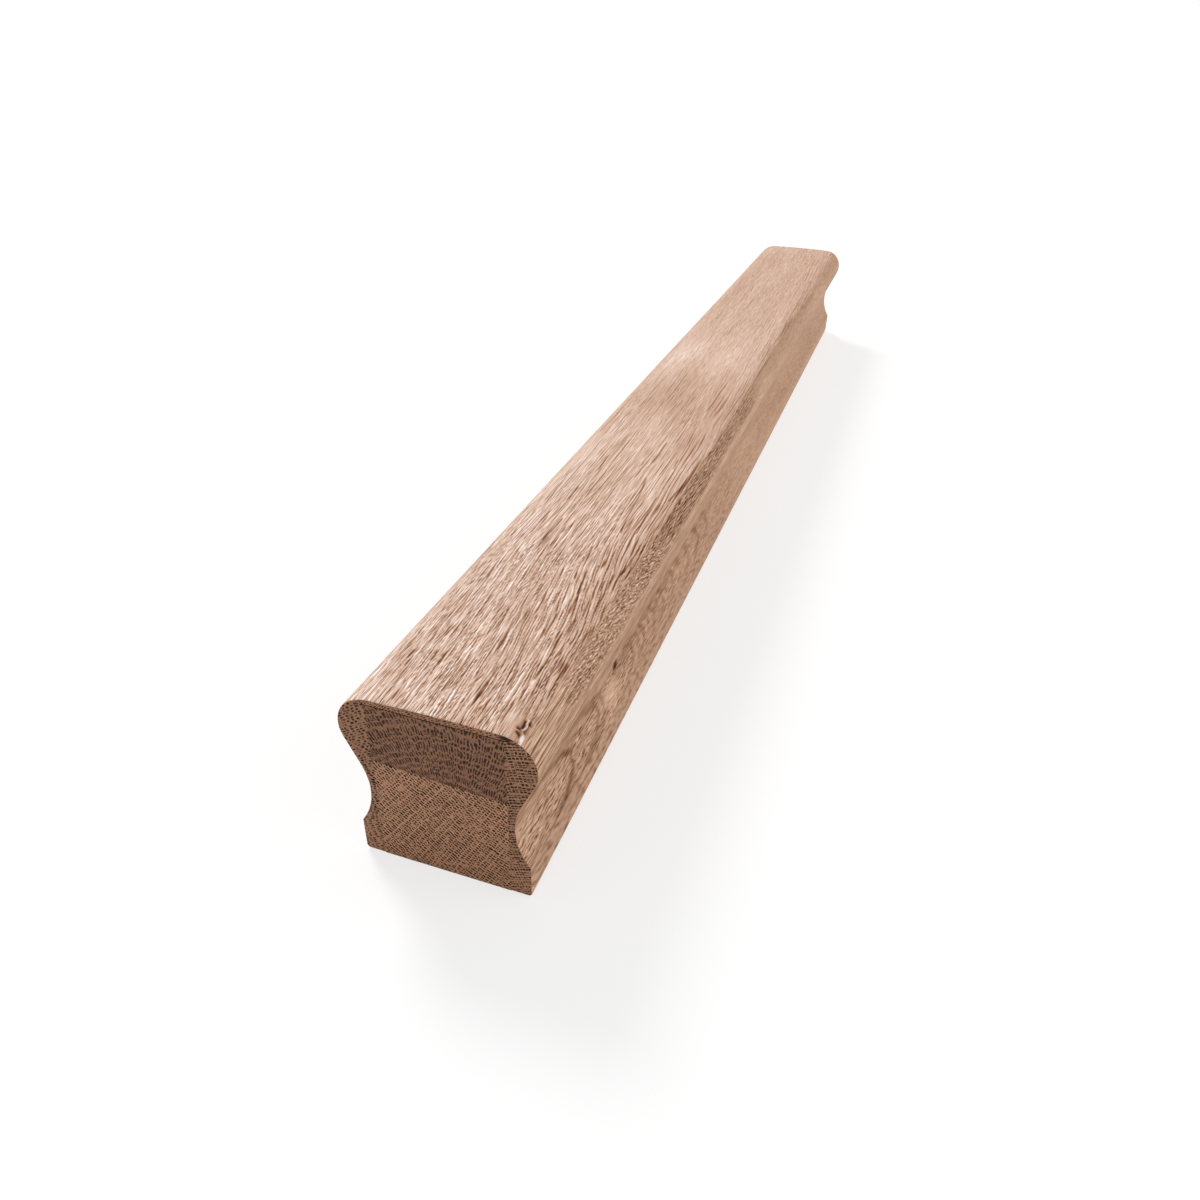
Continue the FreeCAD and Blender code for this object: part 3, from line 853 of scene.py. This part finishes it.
# %% Node group for the colour: the sawn ends, and the choice between both
end_base, ray_share, pore_share = 0.30, -0.18, 0.90
end_share = sum_of(t, "MULTIPLY_ADD", takes["Rays"], ray_share, end_base)
end_share = sum_of(t, "MULTIPLY_ADD", takes["Pores"], pore_share, end_share)
speckle = add(t, "MapRange", [takes["Fibres"], 0.3, 0.7, -0.2, 0.2]).outputs[0]
end_share = sum_of(t, "ADD", sum_of(t, "ADD", end_share, speckle), takes["Patch"])
end_share = add(t, "Clamp", [end_share, 0.0, 1.0]).outputs[0]
end_colour = blend(t, end_share, takes["End Pale"], takes["End Dark"])
facing = add(t, "SeparateXYZ", [add(t, "TexCoord").outputs["Normal"]]).outputs["X"]
sawn = ease(t, sum_of(t, "ABSOLUTE", facing), 0.8, 0.95)
t.links.new(blend(t, sawn, long_colour, end_colour), gives["Colour"])
roughness = add(t, "MapRange", [takes["Fibres"], 0.3, 0.7, 0.62, 0.74]).outputs[0]
t.links.new(roughness, gives["Roughness"])
sunk = sum_of(t, "MULTIPLY", takes["Pores"], -1.0)
t.links.new(add(t, "Mix", {0: sawn, 2: takes["Fibres"], 3: sunk}).outputs[0], gives["Height"])
print("group", oak_colour.name, "nodes:", len(oak_colour.nodes))


# %% One recipe
bare_shine, bump_strength, bump_distance = 0.12, 0.5, 0.0002


def oak(name, rings, fibres, colours):
    """A bare oak finish from the three groups, each with this board's own values."""
    material = bpy.data.materials.new(name)
    material.use_nodes = True
    tree = material.node_tree
    sawn = add(tree, "Group", node_tree=sawn_rings)
    planed = add(tree, "Group", node_tree=planed_fibres)
    colour = add(tree, "Group", node_tree=oak_colour)
    for group, values in ((sawn, rings), (planed, fibres), (colour, colours)):
        for label, value in values.items():
            group.inputs[label].default_value = value
    for source in (sawn, planed):
        for output in source.outputs:
            tree.links.new(output, colour.inputs[output.name])
    shader = tree.nodes["Principled BSDF"]
    shader.inputs["Specular IOR Level"].default_value = bare_shine
    bump = add(tree, "Bump", {
        "Strength": bump_strength, "Distance": bump_distance, "Height": colour.outputs["Height"]})
    tree.links.new(colour.outputs["Colour"], shader.inputs["Base Color"])
    tree.links.new(colour.outputs["Roughness"], shader.inputs["Roughness"])
    tree.links.new(bump.outputs["Normal"], shader.inputs["Normal"])
    return material


# %% Five boards
# The right board lies in shade: its darker, redder colour is painted shade, while the top and the left
# board share the lit colour.
shaded_side_tones = {"Ridge": srgb(222, 183, 155)}
lit_face_tones = {"Ridge": srgb(233, 205, 188), "Green Power": 1.48, "Blue Power": 1.92}
finishes = {
    "top_face_board": oak(
        "oak_top",
        {"Heart Y": 57, "Heart Z": 15, "Mean Radius": 70, "Ring Width": 1.3, "Pore Spacing": 0.7,
         "Pore Width": 0.5, "Scatter": 1.0,
         "Patch Y": -20, "Patch Z": 55.2, "Patch Reach": 3.4, "Patch Tone": 1.0},
        {"Lean": 0.06},
        {**lit_face_tones, "End Pale": srgb(188, 139, 108)}),
    "right_face_board": oak(
        "oak_right",
        {"Heart Y": -67, "Heart Z": -115, "Mean Radius": 150, "Ring Width": 0.9, "Pore Spacing": 1.0,
         "Pore Length": 0.62, "Pore Width": 0.72, "Wander": 0.6,
         # The patch is painted light that makes the foot of the near end paler.
         "Patch Y": -24, "Patch Z": 4, "Patch Reach": 32, "Patch Tone": -0.26},
        {"Lean": 0.0},
        {**shaded_side_tones, "End Pale": srgb(192, 142, 110), "End Dark": srgb(14, 8, 5)}),
    "left_face_board": oak(
        "oak_left",
        {"Heart Y": 124, "Heart Z": -18, "Mean Radius": 110, "Ring Width": 1.7, "Pore Spacing": 0.72,
         "Pore Length": 0.65, "Scatter": 1.0, "Wander": 1.2,
         # The patch is painted light that makes the foot of the near end paler.
         "Patch Y": 24, "Patch Z": 4, "Patch Reach": 30, "Patch Tone": -0.15},
        {"Lean": 0.0},
        {**lit_face_tones, "End Pale": srgb(187, 138, 107), "End Dark": srgb(36, 22, 15)}),
    "lower_core_board": oak(
        "oak_lower_core",
        {"Heart Y": -95, "Heart Z": 155, "Mean Radius": 169, "Ring Width": 1.0, "Pore Spacing": 1.1,
         "Pore Length": 0.6, "Pore Width": 0.72, "Scatter": 1.0, "Loose": 0.5, "Uneven": 0.5,
         "Ragged": 1.5, "Wander": 0.8},
        {"Lean": 0.02},
        {"End Pale": srgb(221, 165, 129), "End Dark": srgb(4, 2, 1)}),
    "upper_core_board": oak(
        "oak_upper_core",
        {"Heart Y": -5, "Heart Z": 9, "Mean Radius": 34, "Ring Width": 2.4, "Pore Spacing": 0.75,
         "Pore Length": 0.82, "Pore Width": 0.56, "Scatter": 0.45, "Uneven": 1.4, "Wander": 2.4},
        {"Lean": 0.02},
        {"End Pale": srgb(166, 121, 94), "End Dark": srgb(58, 38, 28)}),
}
for board in (top_board, right_board, left_board):
    board.data.materials.append(finishes[board.name.removeprefix("planed_")])
for name in ("lower_core_board", "upper_core_board"):
    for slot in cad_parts[name].material_slots:
        slot.material = finishes[name]
print("finishes:", [m.name for m in finishes.values()])
